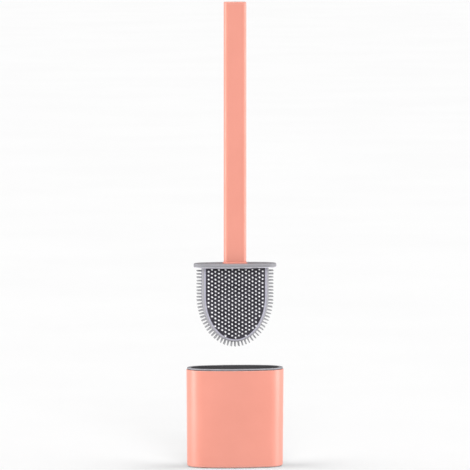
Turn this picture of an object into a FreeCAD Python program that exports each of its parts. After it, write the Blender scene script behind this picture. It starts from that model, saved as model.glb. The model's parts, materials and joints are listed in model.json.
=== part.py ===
"""Slim toilet brush with its standing holder.

The holder is a tall oval cup on four rubber pads. A grey inner cup hangs in it by its lip, catches the
drips and lifts out. The brush has a flat tubular handle, an oval splash lid and a flat rubber head with
short pins on both faces and longer bristles round its edge. It is shown drawn up above the holder.

Frame: millimetres, +Z up, +X along the oval's long side, the front faces -Y. The origin is on the floor,
at the middle of the holder's footprint. Each piece is written to parts/NODE.step.
"""
import FreeCAD, Part
import bisect
import math
import os

Vector = FreeCAD.Vector

# ---- holder shell ----
SHELL_LENGTH = 100.0        # outside, at the rim
SHELL_DEPTH = 50.0          # outside, at the rim
SHELL_END_RADIUS = 21.0     # radius of the oval's two ends, at the rim
SHELL_HEIGHT = 99.7
SHELL_DRAFT = 0.7           # how far each side draws in from rim to floor
SHELL_WALL = 2.4
SHELL_FLOOR = 2.6
SHELL_BASE_ROUND = 1.8      # rounding of the bottom edge
SHELL_RIM_ROUND = 0.5       # rounding of the outer top edge

# ---- foot pads ----
PAD_RADIUS = 4.2
PAD_STAND = 0.5             # how far a pad stands below the shell
PAD_RECESS = 1.0            # how deep a pad sits in the shell's floor
PAD_FIT = 0.15              # radial gap between a pad and its recess
PAD_EDGE_MARGIN = 11.5      # from the foot of the shell's side to a pad's centre, along Y
PAD_END_MARGIN = 17.5       # the same, along X

# ---- inner cup ----
CUP_WALL = 1.8
CUP_SIDE_GAP = 0.5          # between the cup's neck and the shell
LIP_INSET = 0.6             # from the shell's side to the lip's
LIP_HEIGHT = 1.8
LIP_ROUND = 0.5
SHADOW_GAP = 0.6            # height of the groove under the lip
SHADOW_DEPTH = 0.8          # how far the groove goes in under the lip
MOUTH_LEAD_IN = 2.2         # how far the mouth narrows from the lip to the ledge
LEDGE_OVERLAP = 1.7         # how far the ledge reaches in under the lid
CUP_DRAFT = 1.0             # how far the well narrows from ledge to floor
CUP_FLOOR = 1.6
SUMP_HEIGHT = 7.4           # room for water between the shell's floor and the cup's
DRAIN_SLOT_WIDTH = 2.6
DRAIN_SLOT_LENGTH = 15.0
DRAIN_SLOT_PITCH = 9.0
DRAIN_SLOT_COUNT = 7

# ---- splash lid ----
LID_GAP = 0.6               # between the lid and the mouth at the ledge
LID_THICKNESS = 4.2
LID_TOP_ROUND = 0.8
LID_UNDER_ROUND = 0.7
LID_SINK = 0.3              # how far the seated lid's top lies below the lip
SEAT_GAP = 0.1              # left between the seated lid and its ledge
BRUSH_DRAW = 107.4          # how far the brush is drawn up above its seat

# ---- brush head ----
HEAD_NOSE = 47.0            # height of the half ellipse at the head's foot
HEAD_FLOOR_GAP = 3.7        # between the cup's floor and the seated brush's lowest bristle
HEAD_SIDE_GAP = 0.2         # between the foot of the well and the side bristles' tips
HEAD_THICKNESS = 11.0
FRAME_BAND = 4.1            # width of the frame at its sides, seen from the front
NOSE_SHARE = 0.65           # of that width, how much the frame keeps at the tip of the nose
FRAME_ROUND = 2.2           # rounding of the frame's outer edges
FACE_THICKNESS = 3.5        # of each dark face
FACE_FIT = 0.1              # gap round a face and round the core
VENT_RADIUS = 0.7
VENT_ROW = 5                # the row of pins that the vent lies level with

# ---- pins and bristles ----
PIN_PITCH = 4.0             # between neighbours on the triangular grid
PIN_REACH = 10.5            # from the head's middle to the pins' tips, which the well has to clear
PIN_BASE_RADIUS = 0.95
PIN_TIP_RADIUS = 0.8
PIN_TOP_MARGIN = 2.0        # from the lid's underside to the first row
BRISTLE_PITCH = 3.4
BRISTLE_LENGTH = 5.2
BRISTLE_BASE_RADIUS = 0.75
BRISTLE_TIP_RADIUS = 0.6
BRISTLE_ROWS = (-3.0, 0.0, 3.0)
BRISTLE_TOP_MARGIN = 3.6    # from the lid's underside to the first bristle
BRISTLE_ROOT = 0.8          # how far a bristle's root goes into the frame
NOSE_STEPS = 4000           # steps that measure the length of half the nose

# ---- handle ----
HANDLE_WIDTH = 22.8
HANDLE_DEPTH = 12.5
HANDLE_CORNER = 4.2
HANDLE_WALL = 2.2
HANDLE_LENGTH = 267.8       # from the lid to the cap's top
CAP_THICKNESS = 2.2
CAP_ROUND = 1.0
CAP_SKIRT = 9.0
CAP_SKIRT_WALL = 1.4
PLUG_FIT = 0.1              # gap round the cap's skirt and the stem
COLLAR_FLARE = 1.3          # how far the collar stands out round the handle
COLLAR_HEIGHT = 1.8
COLLAR_ROUND = 0.7
COLLAR_FIT = 0.05

# ---- core stem and its snap ----
STEM_LENGTH = 44.0          # above the lid
STEM_SPLIT_WIDTH = 2.0      # slot that lets the two barbs spring
STEM_SPLIT_LENGTH = 26.0
BARB_REACH = 0.8
BARB_HEIGHT = 4.0
BARB_LEVEL = 33.0           # barb's middle above the lid
BARB_POCKET_GAP = 0.2       # room left round a barb in its pocket
CORE_SLOT_WIDTH = 6.0       # slots that let the paddle bend
CORE_SLOT_LENGTH = 30.0
CORE_SLOT_PITCH = 15.0

# ---- levels and insets that follow ----
SHELL_BASE_Z = PAD_STAND
SHELL_RIM_Z = SHELL_BASE_Z + SHELL_HEIGHT
LIP_TOP_Z = SHELL_RIM_Z + LIP_HEIGHT
LEDGE_Z = LIP_TOP_Z - LID_SINK - LID_THICKNESS
CUP_FLOOR_Z = SHELL_BASE_Z + SHELL_FLOOR + SUMP_HEIGHT
LID_BASE_Z = LEDGE_Z + SEAT_GAP + BRUSH_DRAW
LID_TOP_Z = LID_BASE_Z + LID_THICKNESS
HANDLE_TOP_Z = LID_TOP_Z + HANDLE_LENGTH

NECK_INSET = SHELL_WALL + CUP_SIDE_GAP
MOUTH_INSET = NECK_INSET + CUP_WALL
LEDGE_INSET = MOUTH_INSET + MOUTH_LEAD_IN
LID_INSET = LEDGE_INSET + LID_GAP
WELL_INSET = LID_INSET + LEDGE_OVERLAP
WELL_FOOT_INSET = WELL_INSET + CUP_DRAFT

# The head's outside (without its bristles) and its straight side follow from the well that it fits in.
HEAD_WIDTH = SHELL_LENGTH - 2 * (WELL_FOOT_INSET + HEAD_SIDE_GAP + BRISTLE_LENGTH)
HEAD_STRAIGHT = LEDGE_Z - CUP_FLOOR_Z - CUP_FLOOR - HEAD_FLOOR_GAP - BRISTLE_LENGTH - HEAD_NOSE
HALF_HEAD = HEAD_WIDTH / 2
PIN_LENGTH = PIN_REACH - HEAD_THICKNESS / 2
NOSE_Z = LID_BASE_Z - HEAD_STRAIGHT
CORE_THICKNESS = HEAD_THICKNESS - 2 * FACE_THICKNESS
VENT_Z = LID_BASE_Z - PIN_TOP_MARGIN - VENT_ROW * PIN_PITCH
BORE_WIDTH = HANDLE_WIDTH - 2 * HANDLE_WALL
BORE_DEPTH = HANDLE_DEPTH - 2 * HANDLE_WALL
BORE_CORNER = HANDLE_CORNER - HANDLE_WALL


def oval_wire(inset, z):
    """The holder's four-arc outline drawn in by inset, at height z."""
    half_length = SHELL_LENGTH / 2
    half_depth = SHELL_DEPTH / 2
    end_x = half_length - SHELL_END_RADIUS
    rise = half_depth - SHELL_END_RADIUS
    side_radius = (end_x ** 2 + half_depth ** 2 - SHELL_END_RADIUS ** 2) / (2 * rise)
    side_centre = side_radius - half_depth
    end_radius = SHELL_END_RADIUS - inset
    turn = math.atan2(side_centre, end_x)
    joint_x = end_x + end_radius * math.cos(turn)
    joint_y = end_radius * math.sin(turn)
    reach = half_length - inset
    swell = half_depth - inset
    corners = [Vector(joint_x, joint_y, z), Vector(-joint_x, joint_y, z),
               Vector(-joint_x, -joint_y, z), Vector(joint_x, -joint_y, z)]
    middles = [Vector(0, swell, z), Vector(-reach, 0, z), Vector(0, -swell, z), Vector(reach, 0, z)]
    edges = [Part.Arc(corners[k], middles[k], corners[(k + 1) % 4]).toShape() for k in range(4)]
    return Part.Wire(edges)


def oval_block(inset_low, z_low, inset_high, z_high):
    """A solid between two outlines of the oval family."""
    return Part.makeLoft([oval_wire(inset_low, z_low), oval_wire(inset_high, z_high)], True, True)


def rounded_bar(width, depth, corner, z_low, z_high):
    """A rounded rectangular bar standing on end."""
    bar = Part.makeBox(width, depth, z_high - z_low, Vector(-width / 2, -depth / 2, z_low))
    uprights = [e for e in bar.Edges if abs(e.Vertexes[0].Z - e.Vertexes[1].Z) > 0.5 * (z_high - z_low)]
    return bar.makeFillet(corner, uprights)


def slot_block(length, width, height, centre):
    """A round-ended block, long along Y, standing on the point centre."""
    run = length - width
    block = Part.makeBox(width, run, height, centre - Vector(width / 2, run / 2, 0))
    for end in (-1, 1):
        block = block.fuse(Part.makeCylinder(width / 2, height, centre + Vector(0, end * run / 2, 0)))
    return block.removeSplitter()


def edges_at(block, z):
    """The level edges of a solid block at height z."""
    return [e for e in block.Edges if all(abs(v.Z - z) < 1e-4 for v in e.Vertexes)]


def shield(band, y_low, y_high):
    """The head's outline drawn in by band, less at the nose, as a slab along Y with an elliptical nose."""
    half = HALF_HEAD - band
    nose = HEAD_NOSE - band * NOSE_SHARE
    tip = Vector(0, y_low, NOSE_Z - nose)
    curve = Part.Ellipse(tip, Vector(half, y_low, NOSE_Z), Vector(0, y_low, NOSE_Z))
    first = curve.parameter(Vector(half, y_low, NOSE_Z))
    last = curve.parameter(Vector(-half, y_low, NOSE_Z))
    lower = Part.ArcOfEllipse(curve, min(first, last), max(first, last))
    if lower.value((lower.FirstParameter + lower.LastParameter) / 2).z > NOSE_Z:
        lower = Part.ArcOfEllipse(curve, max(first, last), min(first, last) + 2 * math.pi)
    left_top = Vector(-half, y_low, LID_BASE_Z)
    right_top = Vector(half, y_low, LID_BASE_Z)
    edges = [lower.toShape(),
             Part.LineSegment(Vector(half, y_low, NOSE_Z), right_top).toShape(),
             Part.LineSegment(right_top, left_top).toShape(),
             Part.LineSegment(left_top, Vector(-half, y_low, NOSE_Z)).toShape()]
    outline = Part.Wire(Part.sortEdges(edges)[0])
    return Part.Face(outline).extrude(Vector(0, y_high - y_low, 0))


def taper_pin(base_radius, tip_radius, length, root=0.0):
    """A tapered pin with a round tip, standing on the origin along +Z, its root reaching below it."""
    heart = Vector(0, 0, -root)
    edge = Vector(base_radius, 0, -root)
    shoulder = Vector(tip_radius, 0, length - tip_radius)
    dome = shoulder + Vector(math.sqrt(0.5) - 1, 0, math.sqrt(0.5)) * tip_radius
    tip = Vector(0, 0, length)
    profile = Part.Wire([Part.LineSegment(heart, edge).toShape(),
                         Part.LineSegment(edge, shoulder).toShape(),
                         Part.Arc(shoulder, dome, tip).toShape(),
                         Part.LineSegment(tip, heart).toShape()])
    return Part.Face(profile).revolve(Vector(0, 0, 0), Vector(0, 0, 1), 360)


def placed_upright(shape, centre):
    """A copy of a shape lying flat at the origin, stood up to face -Y and moved to centre."""
    copy = shape.copy()
    copy.Placement = FreeCAD.Placement(centre, FreeCAD.Rotation(Vector(1, 0, 0), 90))
    return copy

def placed(shape, foot, direction):
    """A copy of a shape built along +Z, moved to foot and turned to direction."""
    copy = shape.copy()
    copy.Placement = FreeCAD.Placement(foot, FreeCAD.Rotation(Vector(0, 0, 1), direction))
    return copy


# ---- holder ----

def pad_places():
    """Name and centre of each foot pad."""
    x = SHELL_LENGTH / 2 - SHELL_DRAFT - PAD_END_MARGIN
    y = SHELL_DEPTH / 2 - SHELL_DRAFT - PAD_EDGE_MARGIN
    return {"front_left": (-x, -y), "front_right": (x, -y), "back_left": (-x, y), "back_right": (x, y)}


def holder_shell():
    shell = oval_block(SHELL_DRAFT, SHELL_BASE_Z, 0, SHELL_RIM_Z)
    shell = shell.makeFillet(SHELL_BASE_ROUND, edges_at(shell, SHELL_BASE_Z))
    shell = shell.makeFillet(SHELL_RIM_ROUND, edges_at(shell, SHELL_RIM_Z))
    floor_z = SHELL_BASE_Z + SHELL_FLOOR
    floor_inset = SHELL_DRAFT * (1 - SHELL_FLOOR / SHELL_HEIGHT) + SHELL_WALL
    shell = shell.cut(oval_block(floor_inset, floor_z, SHELL_WALL, SHELL_RIM_Z))
    for x, y in pad_places().values():
        recess = Part.makeCylinder(PAD_RADIUS + PAD_FIT, PAD_RECESS, Vector(x, y, SHELL_BASE_Z))
        shell = shell.cut(recess)
    return shell


def foot_pad(x, y):
    return Part.makeCylinder(PAD_RADIUS, PAD_STAND + PAD_RECESS, Vector(x, y, 0))


def inner_cup():
    neck_base_z = LEDGE_Z - CUP_WALL
    neck_foot_inset = LEDGE_INSET - CUP_WALL
    lip = oval_block(LIP_INSET, SHELL_RIM_Z + SHADOW_GAP, LIP_INSET, LIP_TOP_Z)
    lip = lip.makeFillet(LIP_ROUND, edges_at(lip, LIP_TOP_Z))
    seat_inset = LIP_INSET + SHADOW_DEPTH
    seat = oval_block(seat_inset, SHELL_RIM_Z, seat_inset, SHELL_RIM_Z + SHADOW_GAP)
    neck = oval_block(neck_foot_inset, neck_base_z, NECK_INSET, SHELL_RIM_Z)
    well = oval_block(WELL_FOOT_INSET - CUP_WALL, CUP_FLOOR_Z, WELL_INSET - CUP_WALL, neck_base_z)
    cup = lip.fuse([seat, neck, well])
    cup = cup.cut(oval_block(LEDGE_INSET, LEDGE_Z, MOUTH_INSET, LIP_TOP_Z))
    cup = cup.cut(oval_block(WELL_FOOT_INSET, CUP_FLOOR_Z + CUP_FLOOR, WELL_INSET, LEDGE_Z))
    for k in range(DRAIN_SLOT_COUNT):
        x = (k - (DRAIN_SLOT_COUNT - 1) / 2) * DRAIN_SLOT_PITCH
        cup = cup.cut(slot_block(DRAIN_SLOT_LENGTH, DRAIN_SLOT_WIDTH, CUP_FLOOR, Vector(x, 0, CUP_FLOOR_Z)))
    return cup.removeSplitter()


# ---- brush ----

def splash_lid():
    lid = oval_block(LID_INSET, LID_BASE_Z, LID_INSET, LID_TOP_Z)
    lid = lid.makeFillet(LID_TOP_ROUND, edges_at(lid, LID_TOP_Z))
    lid = lid.makeFillet(LID_UNDER_ROUND, edges_at(lid, LID_BASE_Z))
    return lid.cut(rounded_bar(BORE_WIDTH, BORE_DEPTH, BORE_CORNER, LID_BASE_Z, LID_TOP_Z))


def handle_tube():
    top = HANDLE_TOP_Z - CAP_THICKNESS
    tube = rounded_bar(HANDLE_WIDTH, HANDLE_DEPTH, HANDLE_CORNER, LID_TOP_Z, top)
    tube = tube.cut(rounded_bar(BORE_WIDTH, BORE_DEPTH, BORE_CORNER, LID_TOP_Z, top))
    height = BARB_HEIGHT + 2 * BARB_POCKET_GAP
    depth = BORE_DEPTH - 2 * BORE_CORNER
    for side in (-1, 1):
        reach = BARB_REACH + BARB_POCKET_GAP
        corner = Vector(side * BORE_WIDTH / 2 - (0 if side > 0 else reach), -depth / 2,
                        LID_TOP_Z + BARB_LEVEL - height / 2)
        tube = tube.cut(Part.makeBox(reach, depth, height, corner))
    return tube


def handle_end_cap():
    joint_z = HANDLE_TOP_Z - CAP_THICKNESS
    cap = rounded_bar(HANDLE_WIDTH, HANDLE_DEPTH, HANDLE_CORNER, joint_z, HANDLE_TOP_Z)
    cap = cap.makeFillet(CAP_ROUND, edges_at(cap, HANDLE_TOP_Z))
    skirt = rounded_bar(BORE_WIDTH - 2 * PLUG_FIT, BORE_DEPTH - 2 * PLUG_FIT, BORE_CORNER - PLUG_FIT,
                        joint_z - CAP_SKIRT, joint_z)
    inside = 2 * (PLUG_FIT + CAP_SKIRT_WALL)
    hollow = rounded_bar(BORE_WIDTH - inside, BORE_DEPTH - inside, BORE_CORNER - PLUG_FIT - CAP_SKIRT_WALL,
                         joint_z - CAP_SKIRT, joint_z)
    return cap.fuse(skirt.cut(hollow)).removeSplitter()


def handle_collar():
    flare = 2 * COLLAR_FLARE
    ring = rounded_bar(HANDLE_WIDTH + flare, HANDLE_DEPTH + flare, HANDLE_CORNER + COLLAR_FLARE,
                       LID_TOP_Z, LID_TOP_Z + COLLAR_HEIGHT)
    ring = ring.makeFillet(COLLAR_ROUND, edges_at(ring, LID_TOP_Z + COLLAR_HEIGHT))
    fit = 2 * COLLAR_FIT
    return ring.cut(rounded_bar(HANDLE_WIDTH + fit, HANDLE_DEPTH + fit, HANDLE_CORNER + COLLAR_FIT,
                                LID_TOP_Z, LID_TOP_Z + COLLAR_HEIGHT))


def head_core():
    """The stiff paddle inside the head, and the stem that snaps into the handle."""
    half = CORE_THICKNESS / 2
    paddle = shield(FRAME_BAND + FACE_FIT, -half, half)
    for side in (-1, 0, 1):
        slot = slot_block(CORE_SLOT_LENGTH, CORE_SLOT_WIDTH, CORE_THICKNESS, Vector(0, 0, -half))
        paddle = paddle.cut(placed_upright(slot, Vector(side * CORE_SLOT_PITCH, 0, NOSE_Z)))
    top_z = LID_TOP_Z + STEM_LENGTH
    width = BORE_WIDTH - 2 * PLUG_FIT
    depth = BORE_DEPTH - 2 * PLUG_FIT
    stem = rounded_bar(width, depth, BORE_CORNER - PLUG_FIT, LID_BASE_Z, top_z)
    stem = stem.cut(Part.makeBox(STEM_SPLIT_WIDTH, depth, STEM_SPLIT_LENGTH,
                                 Vector(-STEM_SPLIT_WIDTH / 2, -depth / 2, top_z - STEM_SPLIT_LENGTH)))
    level = LID_TOP_Z + BARB_LEVEL
    barb_depth = BORE_DEPTH - 2 * BORE_CORNER - 2 * BARB_POCKET_GAP
    for side in (-1, 1):
        flank = side * width / 2
        profile = [Vector(flank, 0, level - BARB_HEIGHT / 2),
                   Vector(flank + side * (BARB_REACH + PLUG_FIT), 0, level - BARB_HEIGHT / 2),
                   Vector(flank, 0, level + BARB_HEIGHT / 2)]
        face = Part.Face(Part.makePolygon(profile + profile[:1]))
        barb = face.extrude(Vector(0, barb_depth, 0))
        barb.translate(Vector(0, -barb_depth / 2, 0))
        stem = stem.fuse(barb)
    return paddle.fuse(stem).removeSplitter()


def head_face(front):
    """A dark face, flush with the frame. The front one has a small vent."""
    outer = HEAD_THICKNESS / 2
    inner = outer - FACE_THICKNESS
    if not front:
        return shield(FRAME_BAND + FACE_FIT, inner, outer)
    face = shield(FRAME_BAND + FACE_FIT, -outer, -inner)
    vent = Part.makeCylinder(VENT_RADIUS, FACE_THICKNESS, Vector(0, -outer, VENT_Z), Vector(0, 1, 0))
    return face.cut(vent)


def rim_places():
    """Foot and outward direction of each edge bristle, evenly spaced along the head's outline."""
    nose = [(HALF_HEAD * math.cos(turn), HEAD_NOSE * math.sin(turn), turn)
            for turn in (math.pi / 2 * k / NOSE_STEPS for k in range(NOSE_STEPS + 1))]
    lengths = [HEAD_STRAIGHT]
    for (x0, drop0, _), (x1, drop1, _) in zip(nose, nose[1:]):
        lengths.append(lengths[-1] + math.hypot(x1 - x0, drop1 - drop0))
    run = lengths[-1] - BRISTLE_TOP_MARGIN
    count = round(run / BRISTLE_PITCH)
    places = []
    for n in range(count + 1):
        along = BRISTLE_TOP_MARGIN + n * run / count
        if along <= HEAD_STRAIGHT:
            places.append((Vector(HALF_HEAD, 0, LID_BASE_Z - along), Vector(1, 0, 0)))
            continue
        x, drop, turn = nose[min(bisect.bisect(lengths, along), NOSE_STEPS)]
        slope = Vector(math.cos(turn) / HALF_HEAD, 0, -math.sin(turn) / HEAD_NOSE).normalize()
        places.append((Vector(x, 0, NOSE_Z - drop), slope))
    mirrored = [(Vector(-foot.x, 0, foot.z), Vector(-out.x, 0, out.z)) for foot, out in places[:-1]]
    return places + mirrored

def head_frame():
    """The light rubber band round the head, moulded in one with its edge bristles."""
    outer = HEAD_THICKNESS / 2
    band = shield(0, -outer, outer)
    rims = [e for e in band.Edges
            if abs(abs(e.CenterOfMass.y) - outer) < 1e-6 and e.BoundBox.ZMax < LID_BASE_Z + 1e-6
            and e.BoundBox.ZMin < LID_BASE_Z - 1]
    band = band.makeFillet(FRAME_ROUND, rims)
    band = band.cut(shield(FRAME_BAND, -outer, outer))
    bristle = taper_pin(BRISTLE_BASE_RADIUS, BRISTLE_TIP_RADIUS, BRISTLE_LENGTH, BRISTLE_ROOT)
    for row in BRISTLE_ROWS:
        band = band.fuse([placed(bristle, foot + Vector(0, row, 0), out) for foot, out in rim_places()])
    return band


def pin_places():
    """X and Z of each pin on one face: a triangular grid, kept inside the frame."""
    column_pitch = PIN_PITCH * math.sqrt(3) / 2
    half = HALF_HEAD - FRAME_BAND - PIN_BASE_RADIUS
    nose = HEAD_NOSE - FRAME_BAND * NOSE_SHARE - PIN_BASE_RADIUS
    columns = int(half / column_pitch)
    places = []
    for column in range(-columns, columns + 1):
        x = column * column_pitch
        z = LID_BASE_Z - PIN_TOP_MARGIN - (PIN_PITCH / 2 if column % 2 == 0 else 0)
        floor_z = NOSE_Z - nose * math.sqrt(1 - (x / half) ** 2)
        while z > floor_z:
            places.append((x, z))
            z -= PIN_PITCH
    return places


def pin_field(front):
    side = -1 if front else 1
    pin = taper_pin(PIN_BASE_RADIUS, PIN_TIP_RADIUS, PIN_LENGTH)
    plane = side * HEAD_THICKNESS / 2
    pins = [placed(pin, Vector(x, plane, z), Vector(0, side, 0)) for x, z in pin_places()]
    return Part.makeCompound(pins)


def pieces():
    """Every piece by its node's name."""
    made = {"holder_shell": holder_shell(), "inner_cup": inner_cup()}
    for name, (x, y) in pad_places().items():
        made["foot_pad_" + name] = foot_pad(x, y)
    made["handle_tube"] = handle_tube()
    made["handle_end_cap"] = handle_end_cap()
    made["handle_collar"] = handle_collar()
    made["splash_lid"] = splash_lid()
    made["head_core"] = head_core()
    made["head_frame"] = head_frame()
    made["face_front"] = head_face(True)
    made["face_back"] = head_face(False)
    made["pins_front"] = pin_field(True)
    made["pins_back"] = pin_field(False)
    return made


def main():
    os.makedirs("parts", exist_ok=True)
    for name, shape in pieces().items():
        shape.exportStep("parts/" + name + ".step")
        print(name, len(shape.Solids), "solids", round(shape.Volume / 1000, 2), "cm3", shape.isValid())


main()
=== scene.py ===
"""A slim toilet brush, drawn up above its standing holder.

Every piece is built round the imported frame, in metres and in the frame's own axes: +Z is up, +X runs along
the oval's long side and the front faces -Y. The holder's rings and the brush's are drawn in from one outline
each, so a change to an outline carries through the pieces that fit to it.
"""

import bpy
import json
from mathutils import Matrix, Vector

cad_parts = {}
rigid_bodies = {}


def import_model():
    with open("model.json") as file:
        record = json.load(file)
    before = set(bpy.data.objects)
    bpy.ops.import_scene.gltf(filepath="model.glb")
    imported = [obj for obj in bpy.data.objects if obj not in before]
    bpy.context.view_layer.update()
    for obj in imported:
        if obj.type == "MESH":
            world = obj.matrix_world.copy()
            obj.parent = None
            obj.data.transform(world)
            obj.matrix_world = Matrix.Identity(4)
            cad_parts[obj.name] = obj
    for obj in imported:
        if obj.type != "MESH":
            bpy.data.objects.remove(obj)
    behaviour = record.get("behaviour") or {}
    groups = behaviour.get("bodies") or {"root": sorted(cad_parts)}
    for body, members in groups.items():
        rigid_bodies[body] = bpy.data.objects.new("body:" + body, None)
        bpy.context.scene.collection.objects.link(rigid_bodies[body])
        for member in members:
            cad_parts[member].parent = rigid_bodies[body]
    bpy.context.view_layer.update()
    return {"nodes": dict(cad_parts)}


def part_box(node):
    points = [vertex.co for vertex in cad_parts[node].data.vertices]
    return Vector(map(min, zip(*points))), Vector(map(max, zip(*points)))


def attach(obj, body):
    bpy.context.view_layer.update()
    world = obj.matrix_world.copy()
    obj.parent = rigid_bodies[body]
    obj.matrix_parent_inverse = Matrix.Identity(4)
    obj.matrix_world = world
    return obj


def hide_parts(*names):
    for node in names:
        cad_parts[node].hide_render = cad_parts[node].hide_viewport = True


bl_info = {
    "name": "Toilet Brush and Holder",
    "version": (1, 0, 0),
    "blender": (4, 5, 0),
    "location": "3D View > Sidebar > Toilet Brush",
    "description": "Builds a slim toilet brush, its holder and a plain stage round the packed frame",
    "category": "Object",
}

import bisect
import json
import math
import random

import bmesh
import bpy
from bpy.props import FloatProperty, FloatVectorProperty, IntProperty, PointerProperty
from mathutils import Matrix, Vector

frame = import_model()

# ---- levels and reaches that the frame gives ----
SHELL_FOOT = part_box("holder_shell")[0].z
SHELL_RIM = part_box("holder_shell")[1].z
CUP_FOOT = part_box("inner_cup")[0].z
LIP_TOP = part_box("inner_cup")[1].z
LID_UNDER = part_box("splash_lid")[0].z
LID_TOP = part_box("splash_lid")[1].z
COLLAR_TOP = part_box("handle_collar")[1].z
TUBE_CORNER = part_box("handle_tube")[1]
CAP_SKIRT_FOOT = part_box("handle_end_cap")[0].z
HANDLE_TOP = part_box("handle_end_cap")[1].z
FACE_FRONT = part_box("face_front")[0].y
FACE_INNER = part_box("face_front")[1].y
PADS = ("foot_pad_front_left", "foot_pad_front_right", "foot_pad_back_left", "foot_pad_back_right")

# ---- how finely surfaces are drawn ----
ARC_STEPS = 6           # facets of a small rounding
OVAL_STEPS = 36         # facets of each of the oval's four arcs
CORNER_STEPS = 12       # facets of each corner of the handle
NOSE_STEPS = 96         # facets round the head's nose
STRAIGHT_STEPS = 12     # facets down the head's straight side
DISC_STEPS = 48         # facets round a disc
SLOT_STEPS = 8          # facets round each end of a drain slot
FLARE_STEPS = 8         # facets up the collar's flare
FILLET_STEPS = 3        # facets of the fillet at a stalk's root
TAPER_STEPS = 3         # facets up a stalk's taper
DOME_STEPS = 4          # facets over a stalk's tip
STALK_SIDES = 10        # facets round a stalk
RUN_STEPS = 2000        # pieces that the nose is cut into to measure along it
HOLD = 0.00008          # a ring this far from a rounding keeps the flat beside it flat
SHARP_TURN = math.radians(35)   # faces that meet at more than this are shaded as an edge

# ---- small shapes that the pieces share or keep ----
HUB_GAP = 0.001         # closing faces stop this far short of the centres of the oval's ends
TRUE_LEVEL = 1e-6       # two levels this close are the same
PAD_ROUND = 0.0004      # rounding of a pad's lower edge
PAD_TOP_ROUND = 0.0002
PAD_RECESS = 0.0003     # depth of the dimple under a pad
PAD_RECESS_SHARE = 0.55     # the dimple's radius as a share of the pad's
PAD_RECESS_ROUND = 0.0001
CUP_BASE_ROUND = 0.0012
CUP_SEAT_ROUND = 0.0006
CUP_FLOOR_ROUND = 0.0020
CUP_TURN_ROUND = 0.0007     # where the cup's walls turn over inwards
CUP_TIGHT_ROUND = 0.0003    # where they turn tightly
GROOVE_ROUND = 0.0001
GROOVE_START = 0.0002   # the painted shade in the groove starts this far in from the lip
CUP_EDGE_WEAR = 0.25    # how much of the usual wear the cup's edges show
LID_TOP_WEAR = 0.15     # and the lid's top edge; the lid's lower edge keeps the full share, a painted highlight along it with some wear
CROWN_REACH = 0.004     # width of the part of the lid's top that is flat
CROWN_ROUND = 0.003     # rounding where its fall begins
CAP_MIDDLE = 0.0002     # the cap's top closes this far from its corners' centres
COLLAR_GRIP = 0.00005   # gap between the collar and the handle
FACE_MARGIN = 0.002     # width of the ring round a face's flat middle
VENT_SPARE = 0.001      # how far the vent's cutter stands out of the face
FLOOR_SHADE = 0.985     # how pale the floor's darker clouds are, beside its colour

# ---- heights of the plastics' and rubbers' grain ----
SPARK_GRAIN = 0.000012
MOULD_RIPPLE = 0.000010
DRAWN_LINES = 0.000006
RUBBER_GRAIN = 0.00002

# ---- seeds of the small random leans ----
PIN_SEED = 5
BRISTLE_SEED = 11


def length_value(name, description, default):
    """A length property in metres."""
    return FloatProperty(name=name, description=description, default=default, unit="LENGTH", precision=5)


def colour_value(name, description, default):
    """A colour property."""
    return FloatVectorProperty(name=name, description=description, default=default, subtype="COLOR",
                               size=3, min=0.0, max=1.0)


def share_value(name, description, default):
    """A share from 0 to 1."""
    return FloatProperty(name=name, description=description, default=default, subtype="FACTOR",
                         min=0.0, max=1.0)


def angle_value(name, description, degrees):
    """An angle property."""
    return FloatProperty(name=name, description=description, default=math.radians(degrees), subtype="ANGLE")


def strength_value(name, description, default):
    """A brightness property."""
    return FloatProperty(name=name, description=description, default=default, min=0.0)


class ToiletBrushHolderSizes(bpy.types.PropertyGroup):
    """Sizes of the holder's pieces"""
    length: length_value("Length", "Outside of the rim, end to end", 0.100)
    depth: length_value("Depth", "Outside of the rim, front to back", 0.050)
    end_radius: length_value("End radius", "Radius of the oval's two ends at the rim", 0.021)
    draft: length_value("Draft", "How far each side draws in from rim to floor", 0.0007)
    wall: length_value("Shell wall", "Thickness of the shell's wall", 0.0024)
    floor: length_value("Shell floor", "Thickness of the shell's floor", 0.0026)
    base_round: length_value("Base rounding", "Rounding of the shell's bottom edge", 0.0018)
    rim_round: length_value("Rim rounding", "Rounding of the shell's outer top edge", 0.0005)
    foot_ring: length_value("Foot ring", "Width of the ring left round the hollow underside", 0.0058)
    foot_hollow: length_value("Foot hollow", "How far the underside is hollowed", 0.0004)
    lip_inset: length_value("Lip inset", "From the shell's side to the lip's", 0.0006)
    lip_round: length_value("Lip rounding", "Rounding of the lip's top edge", 0.0005)
    shadow_gap: length_value("Shadow gap", "Height of the groove under the lip", 0.0006)
    shadow_depth: length_value("Shadow depth", "How far the groove goes in under the lip", 0.0008)
    neck_inset: length_value("Neck inset", "From the shell's side to the cup's neck", 0.0029)
    mouth_inset: length_value("Mouth inset", "From the shell's side to the cup's mouth", 0.0047)
    ledge_inset: length_value("Ledge inset", "From the shell's side to the outside of the ledge", 0.0069)
    well_inset: length_value("Well inset", "From the shell's side to the top of the well", 0.0092)
    lid_sink: length_value("Lid sink", "How far the seated lid lies below the lip", 0.0003)
    cup_wall: length_value("Cup wall", "Thickness of the cup's wall", 0.0018)
    cup_floor: length_value("Cup floor", "Thickness of the cup's floor", 0.0016)
    cup_draft: length_value("Cup draft", "How far the well narrows from ledge to floor", 0.0010)
    slot_width: length_value("Drain width", "Width of each drain slot", 0.0026)
    slot_length: length_value("Drain length", "Length of each drain slot", 0.015)
    slot_pitch: length_value("Drain pitch", "From one drain slot to the next", 0.009)
    slot_count: IntProperty(name="Drain slots", description="Number of drain slots", default=7, min=1)


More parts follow.
